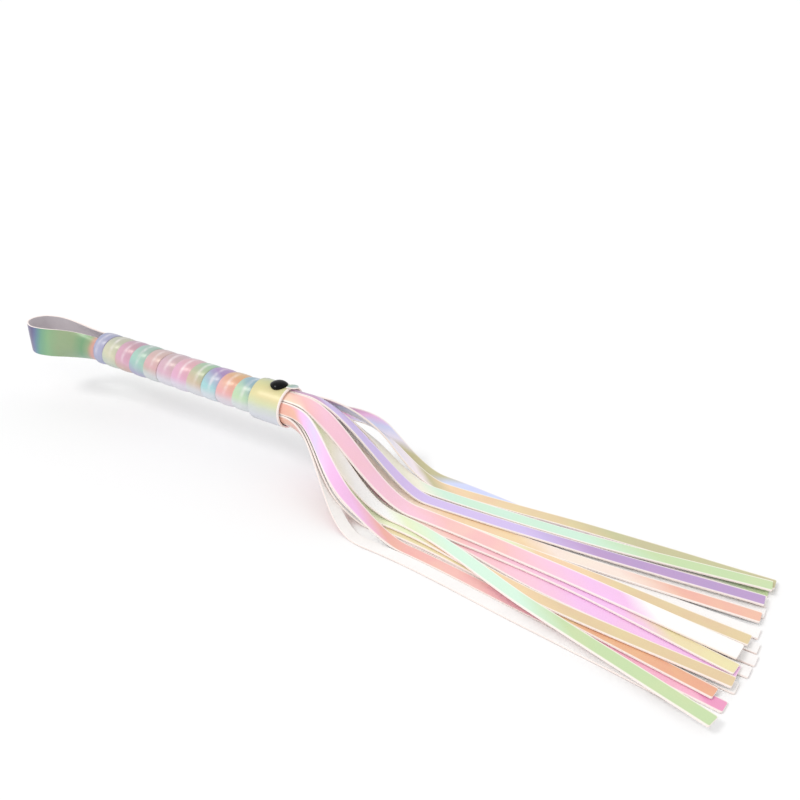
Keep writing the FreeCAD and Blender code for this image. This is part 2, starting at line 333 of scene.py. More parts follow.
def strip_section(width, thickness, film_side, steps, corner):
    """A flat strip's section as (sideways, outwards) points from one corner of its film side, with
    each point's place across the strip and the material after it."""
    half = width / 2
    deep = thickness / 2
    points, acrosses, kinds = [], [], []
    for side, kind in ((1, FILM), (-1, CLOTH)):
        for i in range(steps + 1):
            sideways = side * (2 * i / steps - 1)
            points.append((sideways * (half - corner), side * deep))
            acrosses.append((1 + sideways) / 2)
            kinds.append(kind)
        kinds[-1] = EDGE
        for face in (1, -1):
            points.append((side * half, side * face * (deep - corner)))
            acrosses.append((1 + side) / 2)
            kinds.append(EDGE)
    return [(x, film_side * y) for x, y in points], acrosses + acrosses[:1], kinds


# ---------------------------------------------------------------- falls

# The falls' shapes, in millimetres from the collar's mouth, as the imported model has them
FALL_START = 5.0
ROOT_START = -3.0
THICKNESS = 1.2
ROOT_WIDTH = 7.6
ROOT_FILL = 0.9
LAYER_PITCH = THICKNESS + 0.35
WIDEN_LENGTH = 28.0
UNTWIST_LEAD = 5.0
FAN_X = 90.0
MIDDLE_X = 200.0
END_X = 300.0
RING_RADIUS = {1: 11.6, 2: 9.3, 3: 6.9, 4: 3.4, 5: 0.0}
DROP_START = 6.0
DROP_START_PER_RISE = 0.45
DROP_END = 90.0
DROP_END_PER_RISE = 0.95
LATER_PER_LEFT = 0.55
EARLY_SHARE = 0.6
STATION_STEP = 2.5
TANGENT_STEP = 0.5
END_ROUNDING = 0.9
END_STATIONS = (0.5, 0.8, 0.95)
FALL_CORNER = 0.22
FALL_SECTION_STEPS = 6
WAVE_HEIGHT = 0.08
CROWN_LENGTH = 70.0
FILM_MARGIN = 0.12

Fall = namedtuple("Fall", "name ring angle layer width fan middle end reach turn late spread")
FALLS = [
    Fall("fall_01", 1, 112.5, 0, 9.0, 39.8, 31.5, 36.0, 304, 180, 3.5, 49),
    Fall("fall_02", 1, 67.5, 1, 9.0, 29.4, 37.5, 43.0, 306, 0, 0.5, 64),
    Fall("fall_03", 2, 120, 0, 8.4, 24.9, 22.3, 27.0, 305, 180, -3.5, 68),
    Fall("fall_04", 2, 60, 2, 9.0, 20.1, 25.0, 38.5, 305, 0, -3.5, 58),
    Fall("fall_05", 3, 135, 0, 8.4, 16.1, 13.0, 17.6, 306, 180, 3.0, 68),
    Fall("fall_06", 1, 22.5, 2, 9.0, 9.5, 15.0, 24.0, 304, 0, -1.0, 79),
    Fall("fall_07", 1, 157.5, 0, 8.4, 7.3, 1.5, -0.2, 307, 180, -5.0, 68),
    Fall("fall_08", 3, 45, 1, 9.0, 4.3, 5.0, 11.0, 305, 0, -0.5, 78),
    Fall("fall_09", 2, 180, 0, 8.4, -1.5, -8.8, -11.4, 309, 180, 0.5, 68),
    Fall("fall_10", 2, 0, 2, 9.0, -5.2, -6.0, -11.2, 304, 0, 0.5, 78),
    Fall("fall_11", 1, -22.5, 3, 12.0, -7.6, -14.0, -24.0, 302, 0, 0.5, 77),
    Fall("fall_12", 5, 0, 1, 12.0, -9.0, -27.5, -36.0, 304, 0, 0.0, 78),
    Fall("fall_13", 1, -157.5, 0, 8.4, -10.3, -18.0, -20.8, 310, -180, -5.0, 64),
    Fall("fall_14", 4, 0, 2, 8.8, -14.6, -19.0, -35.0, 303, 0, -2.5, 78),
    Fall("fall_15", 2, -60, 3, 9.0, -19.3, -49.0, -75.5, 302, 0, 0.5, 79),
    Fall("fall_16", 4, 180, 0, 8.4, -19.2, -27.5, -30.5, 309, -180, 1.0, 84),
    Fall("fall_17", 3, -45, 2, 8.4, -24.0, -39.5, -44.8, 304, 0, -4.0, 80),
    Fall("fall_18", 2, -120, 0, 8.4, -27.9, -38.5, -44.5, 306, -180, -1.0, 63),
    Fall("fall_19", 3, -135, 1, 8.4, -27.6, -40.5, -55.5, 298, -180, 3.0, 65),
    Fall("fall_20", 1, -67.5, 0, 8.4, -36.9, -48.0, -59.5, 304, 0, 18.5, 72),
    Fall("fall_21", 1, -112.5, 0, 8.0, -45.6, -56.6, -68.3, 288, -180, -4.0, 90),
]

# The film's colours along each fall, with the distance from the mouth where each is reached
FALL_COLOURS = {
    "fall_01": [(0, "plum"), (22, "plum"), (33, "orchid"), (42, "periwinkle"), (54, "frost"),
                (64, "olive"), (88, "olive"), (104, "periwinkle"), (140, "periwinkle"), (175, "frost"),
                (240, "frost"), (304, "leaf")],
    "fall_02": [(4, "plum"), (14, "orchid"), (27, "periwinkle"), (45, "frost"), (76, "blush"),
                (88, "olive"), (108, "apricot"), (180, "tan"), (215, "olive"), (306, "olive")],
    "fall_03": [(0, "mint"), (60, "lime"), (140, "leaf"), (305, "mint")],
    "fall_04": [(0, "cream"), (84, "cream"), (108, "mint"), (200, "mint"), (245, "leaf"),
                (305, "leaf")],
    "fall_05": [(0, "pink"), (80, "coral"), (200, "peach"), (306, "salmon")],
    "fall_06": [(3, "plum"), (14, "plum"), (25, "lilac"), (165, "lilac"), (210, "violet"),
                (300, "violet")],
    "fall_07": [(0, "periwinkle"), (100, "lilac"), (200, "orchid"), (307, "pink")],
    "fall_08": [(0, "peach"), (24, "peach"), (44, "shell"), (84, "shell"), (120, "apricot"),
                (168, "apricot"), (190, "shell"), (228, "shell"), (262, "salmon"), (305, "salmon")],
    "fall_09": [(0, "tan"), (120, "olive"), (309, "apricot")],
    "fall_10": [(0, "peach"), (26, "peach"), (42, "cream"), (150, "cream"), (168, "lime"),
                (184, "apricot"), (215, "apricot"), (240, "tan"), (304, "tan")],
    # fall_11 turns pearl white towards its end: a painted highlight
    "fall_11": [(0, "peach"), (14, "coral"), (32, "pink"), (96, "pink"), (122, "coral"), (162, "coral"),
                (190, "pink"), (220, "orchid"), (240, "orchid"), (257, "pearl"), (302, "pearl")],
    "fall_12": [(0, "coral"), (20, "pink"), (120, "coral"), (185, "pink"), (220, "orchid"),
                (304, "orchid")],
    "fall_13": [(0, "rose"), (150, "pink"), (310, "lilac")],
    "fall_14": [(0, "pearl"), (96, "cream"), (128, "coral"), (176, "pink"), (216, "orchid"),
                (244, "orchid"), (268, "butter"), (303, "butter")],
    "fall_15": [(3, "pale_mint"), (20, "pale_mint"), (32, "lime"), (46, "cream"), (60, "pearl"),
                (86, "pearl"), (104, "lime"), (136, "pale_mint"), (190, "pale_mint"), (222, "leaf"),
                (302, "leaf")],
    "fall_16": [(0, "lime"), (150, "mint"), (309, "periwinkle")],
    "fall_17": [(0, "cream"), (110, "lime"), (128, "apricot"), (182, "apricot"), (215, "tan"),
                (304, "tan")],
    "fall_18": [(0, "coral"), (150, "peach"), (306, "butter")],
    "fall_19": [(0, "butter"), (200, "butter"), (236, "orange"), (298, "orange")],
    "fall_20": [(0, "salmon"), (9, "salmon"), (20, "orchid"), (36, "lavender"), (54, "orchid"),
                (74, "orchid"), (98, "salmon"), (166, "coral"), (206, "rose"), (288, "rose"),
                (293, "deep_rose"), (304, "deep_rose")],
    "fall_21": [(0, "salmon"), (120, "rose"), (288, "orchid")],
}
# Falls whose film faces the grip's axis at the root, and falls with film on both sides
FILM_INSIDE = ("fall_01", "fall_19")
FILM_ON_BOTH_SIDES = ("fall_02",)


def ease(t):
    """A smooth step from 0 to 1."""
    t = min(max(t, 0.0), 1.0)
    return t * t * (3 - 2 * t)


def hermite(t, start, end, start_slope, end_slope):
    """A cubic from start to end over t from 0 to 1."""
    bend = (t * t * t - 2 * t * t + t) * start_slope + (t * t * t - t * t) * end_slope
    return start + (end - start) * ease(t) + bend


def across(fall, x):
    """The fall's Y at a distance x in front of the mouth."""
    root = RING_RADIUS[fall.ring] * math.sin(math.radians(fall.angle))
    if x < FAN_X:
        return root + (fall.fan - root) * ease((x - FALL_START) / (fall.spread - FALL_START))
    near = MIDDLE_X - FAN_X
    far = END_X - MIDDLE_X
    near_slope = (fall.middle - fall.fan) / near
    far_slope = (fall.end - fall.middle) / far
    middle_slope = (near_slope + far_slope) / 2
    if x < MIDDLE_X:
        return hermite((x - FAN_X) / near, fall.fan, fall.middle, 0, middle_slope * near)
    if x < END_X:
        return hermite((x - MIDDLE_X) / far, fall.middle, fall.end, middle_slope * far, far_slope * far)
    return fall.end + far_slope * (x - END_X)


def root_height(fall):
    return RING_RADIUS[fall.ring] * math.cos(math.radians(fall.angle))


def left_delay(fall):
    """How much further out a fall on the left comes down."""
    return LATER_PER_LEFT * max(RING_RADIUS[fall.ring] * math.sin(math.radians(fall.angle)), 0)


def landing(fall):
    """Where the fall reaches the table, as a distance in front of the mouth."""
    return DROP_END + DROP_END_PER_RISE * root_height(fall) + left_delay(fall) + fall.late


def height(fall, x):
    """The fall's height above the grip's axis at a distance x in front of the mouth."""
    root = root_height(fall)
    rest = TABLE_Z / MM + THICKNESS / 2 + fall.layer * LAYER_PITCH
    start = DROP_START + DROP_START_PER_RISE * root + left_delay(fall) + EARLY_SHARE * fall.late
    return rest + (root - rest) * (1 - ease((x - start) / (landing(fall) - start)))


def roll(fall, x):
    """The fall's roll about its own line, from its place in the roll to lying flat as it lands."""
    root = fall.turn if fall.ring >= 4 else fall.angle
    untwisted = ease((x - FALL_START) / (landing(fall) - UNTWIST_LEAD - FALL_START))
    return math.radians(root + (fall.turn - root) * untwisted)


def fall_point(fall, x):
    return Vector((MOUTH_X / MM + x, across(fall, x), height(fall, x)))


def fall_ring(fall, x, section):
    """The points of a fall's section at x, in metres: crowned where it leaves the rolled header, and
    with slow shallow waves beyond it."""
    along = (fall_point(fall, x + TANGENT_STEP) - fall_point(fall, x - TANGENT_STEP)).normalized()
    upright = (UP - along * along.z).normalized()
    sideways = upright.cross(along)
    turn = roll(fall, x)
    face = upright * math.cos(turn) + sideways * math.sin(turn)
    edge = sideways * math.cos(turn) - upright * math.sin(turn)
    curl = 0.0
    if fall.ring < 4:
        curl = (1 - ease(x / CROWN_LENGTH)) / (2 * RING_RADIUS[fall.ring])
    wave = WAVE_HEIGHT * math.sin(x / 13 + fall.angle) * ease(x / CROWN_LENGTH)
    centre = fall_point(fall, x)
    ring = []
    for across_mm, out_mm in section:
        out = out_mm - curl * across_mm * across_mm + wave * math.sin(across_mm / 2 + x / 29)
        ring.append((centre + edge * across_mm + face * out) * MM)
    return ring


def fall_width(fall, x):
    """The fall's width: narrow at the root, and rounded off at its far corners."""
    root = ROOT_WIDTH + (ROOT_FILL if fall.ring == 1 else 0)
    full = root + (fall.width - root) * ease((x - FALL_START) / WIDEN_LENGTH)
    short = max(x - (fall.reach - END_ROUNDING), 0)
    return full - 2 * (END_ROUNDING - math.sqrt(max(END_ROUNDING ** 2 - short ** 2, 0)))


def fall_piece(fall):
    """A fall as one soft strip from inside the collar to its cut end."""
    count = round((fall.reach - END_ROUNDING - ROOT_START) / STATION_STEP)
    step = (fall.reach - END_ROUNDING - ROOT_START) / count
    stations = [ROOT_START + step * i for i in range(count + 1)]
    stations += [fall.reach - END_ROUNDING * (1 - share) for share in END_STATIONS]
    film_side = -1 if fall.name in FILM_INSIDE else 1
    rings = []
    for x in stations:
        section, acrosses, kinds = strip_section(fall_width(fall, x), THICKNESS, film_side,
                                                 FALL_SECTION_STEPS, FALL_CORNER)
        rings.append(fall_ring(fall, x, section))
    if fall.name in FILM_ON_BOTH_SIDES:
        kinds = [FILM if kind == CLOTH else kind for kind in kinds]
    length = fall.reach - ROOT_START
    alongs = [(x - ROOT_START) / length for x in stations]
    stops = [((x - ROOT_START) / length, PAINT[name]) for x, name in FALL_COLOURS[fall.name]]
    film = pearl_film(fall.name + "_film", stops, margin=FILM_MARGIN)
    materials = [film, CLOTH_MATERIAL, EDGE_MATERIAL]
    piece = loft(fall.name + "_strip", rings, alongs, acrosses, kinds, materials)
    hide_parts(fall.name)
    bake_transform(piece)
    return piece


# ---------------------------------------------------------------- grip wrap

WRAP_PITCH = (COLLAR_REAR_X - BUTT_X) / 10.75
WRAP_PHASE_X = BUTT_X - 9.4 * MM
WRAP_VALLEY = WRAP_RADIUS - 0.8 * MM
WRAP_BULGE = 0.75 * MM
WRAP_BORE = WRAP_RADIUS - 1.6 * MM
STEPS_PER_TURN = 96
BAND_PLACES = (0.0, 0.035, 0.1, 0.2, 0.32, 0.45, 0.58, 0.7, 0.81, 0.9, 0.965)
FIRST_TURN, LAST_TURN = -1, 13

# The wound strip is a little darker than the colours it is matched to
WRAP_SHADE = 0.945


def wrap_chart(red, green, blue):
    """A paint-chart colour as it is on the wound strip."""
    return chart(WRAP_SHADE * red, WRAP_SHADE * green, WRAP_SHADE * blue)


# Each turn's colours on its lower near side, on its upper near side and at the top. The last turns
# are plain underneath.
TURN_COLOURS = [
    (wrap_chart(150, 144, 196), wrap_chart(178, 182, 218), wrap_chart(168, 164, 204)),
    (wrap_chart(196, 206, 180), wrap_chart(226, 220, 188), wrap_chart(196, 196, 174)),
    (wrap_chart(214, 160, 136), wrap_chart(232, 168, 200), wrap_chart(204, 152, 172)),
    (wrap_chart(156, 136, 196), wrap_chart(168, 220, 202), wrap_chart(166, 192, 182)),
    (wrap_chart(172, 196, 150), wrap_chart(232, 176, 182), wrap_chart(214, 180, 174)),
    (wrap_chart(222, 190, 206), wrap_chart(232, 178, 204), wrap_chart(208, 174, 178)),
    (wrap_chart(238, 176, 222), wrap_chart(240, 172, 214), wrap_chart(228, 168, 182)),
    (wrap_chart(214, 206, 190), wrap_chart(224, 190, 166), wrap_chart(168, 198, 160)),
    (None, wrap_chart(166, 222, 228), wrap_chart(170, 134, 194)),
    (None, wrap_chart(250, 174, 180), wrap_chart(230, 164, 116)),
    (None, wrap_chart(198, 234, 188), wrap_chart(144, 178, 198)),
]
LOWER_SIDE, UPPER_SIDE, TOP = 0.71, 0.84, 1.0
# Lavender white that the undersides are paled towards: a painted reflection of a pale surface below
UNDERSIDE_REFLECTION_COLOUR = chart(220, 218, 230)
# A pale streak along each turn's crest, strongest on the top of the grip: a painted highlight
PAINTED_HIGHLIGHT_COLOUR = chart(252, 240, 244)
CREST_PLACE = 0.56
CREST_HALF_WIDTH = 0.17
PAINTED_HIGHLIGHT_STRENGTH = 0.7


def wrap_profile(share):
    """How far a turn bulges at a place across its band, from 0 at the grooves to 1."""
    return (1 - abs(2 * share - 1) ** 2.4) ** 0.85


def wrap_point(turns, share):
    """A point on the wound band, which goes down the near side as it runs towards the butt."""
    bulge = WRAP_BULGE * (1 + 0.10 * math.sin(2.1 * turns) + 0.05 * math.sin(9.7 * turns))
    radius = WRAP_VALLEY + bulge * wrap_profile(share)
    wander = 0.35 * MM * math.sin(1.7 * turns + 0.6) + 0.12 * MM * math.sin(8.3 * turns)
    x = WRAP_PHASE_X + WRAP_PITCH * (turns + share - 0.5) + wander
    angle = -2 * math.pi * turns
    return Vector((x, -radius * math.sin(angle), radius * math.cos(angle)))


def wrap_material():
    """The wound strip's film: its own colours turn by turn, a painted reflection underneath and a
    painted highlight along the crests.
    """
    material, tree, shader = blank("wrap_film", **PEARL)
    along, across_band = strip_place(tree)
    span = LAST_TURN - FIRST_TURN
    stops = []
    for index, colours in enumerate(TURN_COLOURS):
        for share, colour in zip((LOWER_SIDE, UPPER_SIDE, TOP), colours):
            if colour:
                stops.append(((index + share - FIRST_TURN) / span, colour))
    uneven = spread(tree, noise(tree, object_place(tree), 90.0), -0.004, 0.004)
    slanted = maths(tree, "MULTIPLY_ADD", across_band, 0.006, along)
    colour = ramp(tree, maths(tree, "ADD", slanted, uneven), stops)
    turns = spread(tree, along, FIRST_TURN, LAST_TURN)
    round_grip = maths(tree, "FRACT", maths(tree, "MULTIPLY", turns, -1.0))
    from_top = maths(tree, "PINGPONG", round_grip, 0.5)
    # Painted reflection: the underside pales, most on the turns towards the collar
    under = smooth_range(tree, from_top, 0.20, 0.30, 0.0, 0.8)
    beyond = smooth_range(tree, turns, 3.4, 5.0, 0.15, 1.0)
    pale = blend_colours(tree, maths(tree, "MULTIPLY", under, beyond), colour, UNDERSIDE_REFLECTION_COLOUR)
    # Painted highlight: a broken pale streak along the crest, fading away from the top of the grip
    from_crest = maths(tree, "ABSOLUTE", maths(tree, "ADD", across_band, -CREST_PLACE))
    crest = smooth_range(tree, from_crest, 0.0, CREST_HALF_WIDTH, PAINTED_HIGHLIGHT_STRENGTH, 0.0)
    upper = smooth_range(tree, from_top, 0.14, 0.28, 1.0, 0.15)
    broken = spread(tree, noise(tree, object_place(tree), 170.0), -0.5, 1.4)
    highlight_streak = maths(tree, "MULTIPLY", maths(tree, "MULTIPLY", crest, upper), broken)
    with_highlight = blend_colours(tree, highlight_streak, pale, PAINTED_HIGHLIGHT_COLOUR)
    tree.links.new(shimmer(tree, with_highlight), shader.inputs["Base Color"])
    leather_surface(tree, shader, crease_depth=0.18 * MM)
    return material


def wrap_piece():
    """The wound band as one closed sleeve with a helical groove, cut square at both ends."""
    work = bmesh.new()
    layer = work.loops.layers.uv.new(STRIP_UV)
    span = LAST_TURN - FIRST_TURN
    rows = span * STEPS_PER_TURN
    places = BAND_PLACES + (1.0,)
    verts = []
    for i in range(rows + 1):
        turns = FIRST_TURN + i / STEPS_PER_TURN
        verts.append([work.verts.new(wrap_point(turns, share)) for share in BAND_PLACES])
    last = len(BAND_PLACES) - 1
    for i in range(rows - STEPS_PER_TURN):
        for j in range(last + 1):
            if j < last:
                corners = (verts[i][j], verts[i][j + 1], verts[i + 1][j + 1], verts[i + 1][j])
            else:
                over = i + STEPS_PER_TURN
                corners = (verts[i][j], verts[over][0], verts[over + 1][0], verts[i + 1][j])
            face = work.faces.new(corners)
            for loop, (a, b) in zip(face.loops, ((i, j), (i, j + 1), (i + 1, j + 1), (i + 1, j))):
                loop[layer].uv = (a / rows, places[b])
    for end, direction in ((BUTT_X, -1), (COLLAR_REAR_X - 0.02 * MM, 1)):
        everything = work.verts[:] + work.edges[:] + work.faces[:]
        bmesh.ops.bisect_plane(work, geom=everything, plane_co=(end, 0, 0), plane_no=(direction, 0, 0),
                               clear_outer=True)
    loose = [vert for vert in work.verts if not vert.link_faces]
    bmesh.ops.delete(work, geom=loose, context="VERTS")
    rims = [edge for edge in work.edges if edge.is_boundary]
    lips = bmesh.ops.extrude_edge_only(work, edges=rims)["geom"]
    for vert in (part for part in lips if isinstance(part, bmesh.types.BMVert)):
        shrink = WRAP_BORE / math.hypot(vert.co.y, vert.co.z)
        vert.co.y *= shrink
        vert.co.z *= shrink
    inner = [part for part in lips if isinstance(part, bmesh.types.BMEdge)]
    bmesh.ops.bridge_loops(work, edges=inner)
    piece = finish_mesh("wound_wrap", work, [wrap_material()])
    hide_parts("grip_wrap")
    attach(piece, "handle")
    return piece


# ---------------------------------------------------------------- collar

COLLAR_WALL = 1.2 * MM
COLLAR_STEPS = 120
SEAM_ANGLE = math.radians(-27)
FLAP_ANGLE = math.radians(-6)
FLAP_SETBACK = 2.4 * MM
FLAP_LENGTH = 7.6 * MM
FLAP_WIDTH = 6.4 * MM
FLAP_THICKNESS = 0.9 * MM
FLAP_CORNER = 0.15 * MM
FLAP_STEPS = 14
FLAP_SECTION_STEPS = 6
FLAP_GAP = 0.15 * MM
FLAP_RISE = 1.2 * MM
SEAM_DEPTH = 0.45 * MM
SEAM_WIDTH = math.radians(2.5)
COLLAR_COLOURS = [
    (0.0, chart(200, 198, 142)), (0.06, chart(214, 206, 142)), (0.14, chart(226, 214, 154)),
    (0.19, chart(214, 218, 172)), (0.235, chart(208, 214, 206)), (0.30, chart(214, 214, 224)),
    (0.68, chart(212, 210, 222)), (0.78, chart(188, 208, 202)), (0.9, chart(184, 194, 158)),
    (1.0, chart(200, 198, 142)),
]
# The bent-up corner's film colours: greenish grey, with painted shade in them
FLAP_SHADED_COLOURS = [(0.0, chart(176, 196, 160)), (0.45, chart(142, 170, 160)), (1.0, chart(200, 206, 204))]


def grip_direction(angle):
    """Outwards from the grip's axis, at an angle from the top towards the near side."""
    return Vector((0, -math.sin(angle), math.cos(angle)))


def collar_piece():
    """The band over the header: a turned-in rear edge, a pale cut rim at the mouth and a lap seam."""
    outer = COLLAR_RADIUS
    inner = COLLAR_RADIUS - COLLAR_WALL
    rear, front = COLLAR_REAR_X, MOUTH_X
    outline = [
        (rear, WRAP_RADIUS + 0.3 * MM, FILM), (rear, outer - 0.7 * MM, FILM),
        (rear + 0.2 * MM, outer - 0.2 * MM, FILM), (rear + 0.7 * MM, outer, FILM),
        (rear + 8 * MM, outer + 0.05 * MM, FILM), (rear + 16 * MM, outer, FILM),
        (front - 1.3 * MM, outer, EDGE), (front - 0.4 * MM, outer - 0.05 * MM, EDGE),
        (front, outer - 0.4 * MM, EDGE), (front, inner + 0.1 * MM, EDGE),
        (front - 0.4 * MM, inner - 0.2 * MM, EDGE), (front - 2.5 * MM, inner, CLOTH),
        (rear + 2 * MM, inner, CLOTH), (rear + 1 * MM, WRAP_RADIUS + 0.3 * MM, FILM),
    ]
    kinds = [kind for _, _, kind in outline]
    rings = []
    for i in range(COLLAR_STEPS):
        angle = 2 * math.pi * i / COLLAR_STEPS
        away = (angle - SEAM_ANGLE + math.pi) % (2 * math.pi) - math.pi
        groove = SEAM_DEPTH * math.exp(-(away / SEAM_WIDTH) ** 2)
        uneven = 0.06 * MM * math.sin(3 * angle + 1) + 0.04 * MM * math.sin(7 * angle)
        ring = []
        for x, radius, _ in outline:
            shift = uneven - groove if radius > inner + 0.5 * MM else 0
            ring.append(Vector((x, 0, 0)) + grip_direction(angle) * (radius + shift))
        rings.append(ring)
    alongs = [i / COLLAR_STEPS for i in range(COLLAR_STEPS + 1)]
    acrosses = [(x - rear) / (front - rear) for x, _, _ in outline]
    acrosses.append(acrosses[0])
    film = pearl_film("collar_film", COLLAR_COLOURS, skew=0.0, drift=0.03)
    materials = [film, CLOTH_MATERIAL, EDGE_MATERIAL]
    piece = loft("collar_sleeve", rings, alongs, acrosses, kinds, materials, closed=True)
    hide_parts("collar_band")
    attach(piece, "handle")
    return piece


def flap_piece():
    """The band's outer corner, which is bent up a little in front of the rivet."""
    start_x = MOUTH_X - FLAP_SETBACK
    out = grip_direction(FLAP_ANGLE)
    side = grip_direction(FLAP_ANGLE + math.pi / 2)
    rings = []
    for i in range(FLAP_STEPS + 1):
        share = i / FLAP_STEPS
        lift = FLAP_GAP + FLAP_THICKNESS / 2 + FLAP_RISE * share * (1.3 - share)
        width = FLAP_WIDTH * math.sqrt(max(1 - (max(share - 0.45, 0) / 0.56) ** 2, 0.02))
        centre = Vector((start_x + FLAP_LENGTH * share, 0, 0)) + out * (COLLAR_RADIUS + lift)
        section, acrosses, kinds = strip_section(width, FLAP_THICKNESS, 1,
                                                 FLAP_SECTION_STEPS, FLAP_CORNER)
        curl = (1 - 0.7 * share) / (2 * COLLAR_RADIUS)
        rings.append([centre + side * s + out * (o - curl * s * s) for s, o in section])
    alongs = [i / FLAP_STEPS for i in range(FLAP_STEPS + 1)]
    materials = [pearl_film("flap_film", FLAP_SHADED_COLOURS, skew=0.2), CLOTH_MATERIAL, EDGE_MATERIAL]
    piece = loft("collar_corner", rings, alongs, acrosses, kinds, materials)
    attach(piece, "handle")
    return piece


# The rivet's outline as shares of its radius and of its depth, from the middle to under the rim
RIVET_CROWN = [(0.12, 0.0), (0.3, 0.04), (0.5, 0.13), (0.68, 0.27), (0.82, 0.43), (0.91, 0.58),
               (0.955, 0.66), (0.985, 0.70), (1.0, 0.76), (0.995, 0.84), (0.97, 0.90)]
RIVET_DEPTH = 2.5 * MM
RIVET_FOOT_SHARE = 0.94
RIVET_FOOT_SINK = 0.2 * MM
RIVET_STEPS = 64


def rivet_piece():
    """The rivet's dome with a rolled rim, its skirt following the round collar."""
    low, high = RIVET_BOX
    centre_x = (low.x + high.x) / 2
    radius = (high.x - low.x) / 2
    top = high.z
    rim_z = top - RIVET_DEPTH
    work = bmesh.new()
    pole = work.verts.new((centre_x, 0, top))
    rings = []
    for share, drop in RIVET_CROWN:
        ring = []
        for i in range(RIVET_STEPS):
            angle = 2 * math.pi * i / RIVET_STEPS
            x = radius * share * math.cos(angle)
            y = radius * share * math.sin(angle)
            saddle = y * y / (2 * COLLAR_RADIUS) * drop
            ring.append(work.verts.new((centre_x + x, y, top + (rim_z - top) * drop - saddle)))
        rings.append(ring)
    foot = []
    for i in range(RIVET_STEPS):
        angle = 2 * math.pi * i / RIVET_STEPS
        x = radius * RIVET_FOOT_SHARE * math.cos(angle)
        y = radius * RIVET_FOOT_SHARE * math.sin(angle)
        z = math.sqrt((COLLAR_RADIUS - RIVET_FOOT_SINK) ** 2 - y * y)
        foot.append(work.verts.new((centre_x + x, y, z)))
    rings.append(foot)
    for i in range(RIVET_STEPS):
        k = (i + 1) % RIVET_STEPS
        work.faces.new((pole, rings[0][i], rings[0][k]))
        for near, far in zip(rings, rings[1:]):
            work.faces.new((near[i], far[i], far[k], near[k]))
    work.faces.new(foot)
    piece = finish_mesh("rivet_dome", work, [rivet_black()])
    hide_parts("rivet_cap")
    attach(piece, "handle")
    return piece


# ---------------------------------------------------------------- wrist strap

# The strap's route, in millimetres behind the butt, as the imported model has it, with its two roots
LOOP_ROUTE = [(3.0, -10.15), (-2.2, -10.15), (-7.2, -10.3), (-20, -11.4), (-33, -13.8), (-46, -17.6),
              (-60, -19.2), (-70, -14.6), (-72.4, -6.6), (-67, 1.2), (-54, 5.4), (-38, 7.2), (-22, 8.6),
              (-7.2, 10.0), (-2.2, 10.15), (3.0, 10.15)]
ROUTE_STEPS = 14
STRAP_THICKNESS = 1.1 * MM
STRAP_CORNER = 0.25 * MM
STRAP_SECTION_STEPS = 16
LEAST_CURL = 0.02
ROOT_CURL = 1.10
CURL_LENGTH = 60 * MM
STRAP_COLOURS = [
    (0.0, chart(170, 166, 192)), (0.045, chart(216, 144, 134)), (0.075, chart(140, 164, 122)),
    (0.11, chart(106, 156, 112)), (0.17, chart(140, 164, 122)), (0.24, chart(148, 170, 128)),
    (0.30, chart(130, 178, 130)), (0.34, chart(108, 164, 138)), (0.362, chart(96, 138, 154)),
    (0.38, chart(98, 104, 154)), (0.397, chart(90, 70, 124)), (0.53, chart(104, 80, 132)),
    (0.62, chart(126, 130, 178)), (0.75, chart(140, 180, 190)), (0.88, chart(160, 200, 160)),
    (1.0, chart(186, 190, 150)),
]


def smooth_route(points, steps):
    """Points on a Catmull-Rom curve through the given ones."""
    route = []
    ends = [points[0] * 2 - points[1]] + points + [points[-1] * 2 - points[-2]]
    for before, start, end, after in zip(ends, ends[1:], ends[2:], ends[3:]):
        for i in range(steps):
            t = i / steps
            route.append(0.5 * (2 * start + (end - before) * t
                                + (2 * before - 5 * start + 4 * end - after) * t * t
                                + (3 * start - before - 3 * end + after) * t * t * t))
    route.append(points[-1])
    return route


def strap_piece():
    """The wrist strap: a band on edge whose two ends curl round the rod and go in under the wrap."""
    route = smooth_route([Vector((BUTT_X + x * MM, y * MM, 0)) for x, y in LOOP_ROUTE], ROUTE_STEPS)
    lengths = [0.0]
    for a, b in zip(route, route[1:]):
        lengths.append(lengths[-1] + (b - a).length)
    section, acrosses, kinds = strip_section(2 * LOOP_HALF_HEIGHT, STRAP_THICKNESS, 1,
                                             STRAP_SECTION_STEPS, STRAP_CORNER)
    rings = []
    for i, point in enumerate(route):
        ahead = route[min(i + 1, len(route) - 1)] - route[max(i - 1, 0)]
        outward = UP.cross(ahead).normalized()
        curl = ROOT_CURL * ease(1 + (point.x - BUTT_X) / CURL_LENGTH) + LEAST_CURL
        radius = LOOP_HALF_HEIGHT / curl
        ring = []
        for along_edge, out in section:
            angle = along_edge / radius
            ring.append(point + outward * ((radius + out) * math.cos(angle) - radius)
                        + UP * ((radius + out) * math.sin(angle)))
        rings.append(ring)
    alongs = [length / lengths[-1] for length in lengths]
    film = pearl_film("strap_film", STRAP_COLOURS, skew=0.03, drift=0.03)
    materials = [film, STRAP_CLOTH, EDGE_MATERIAL]
    piece = loft("wrist_strap", rings, alongs, acrosses, kinds, materials)
    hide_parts("wrist_loop")
    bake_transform(piece)
    return piece


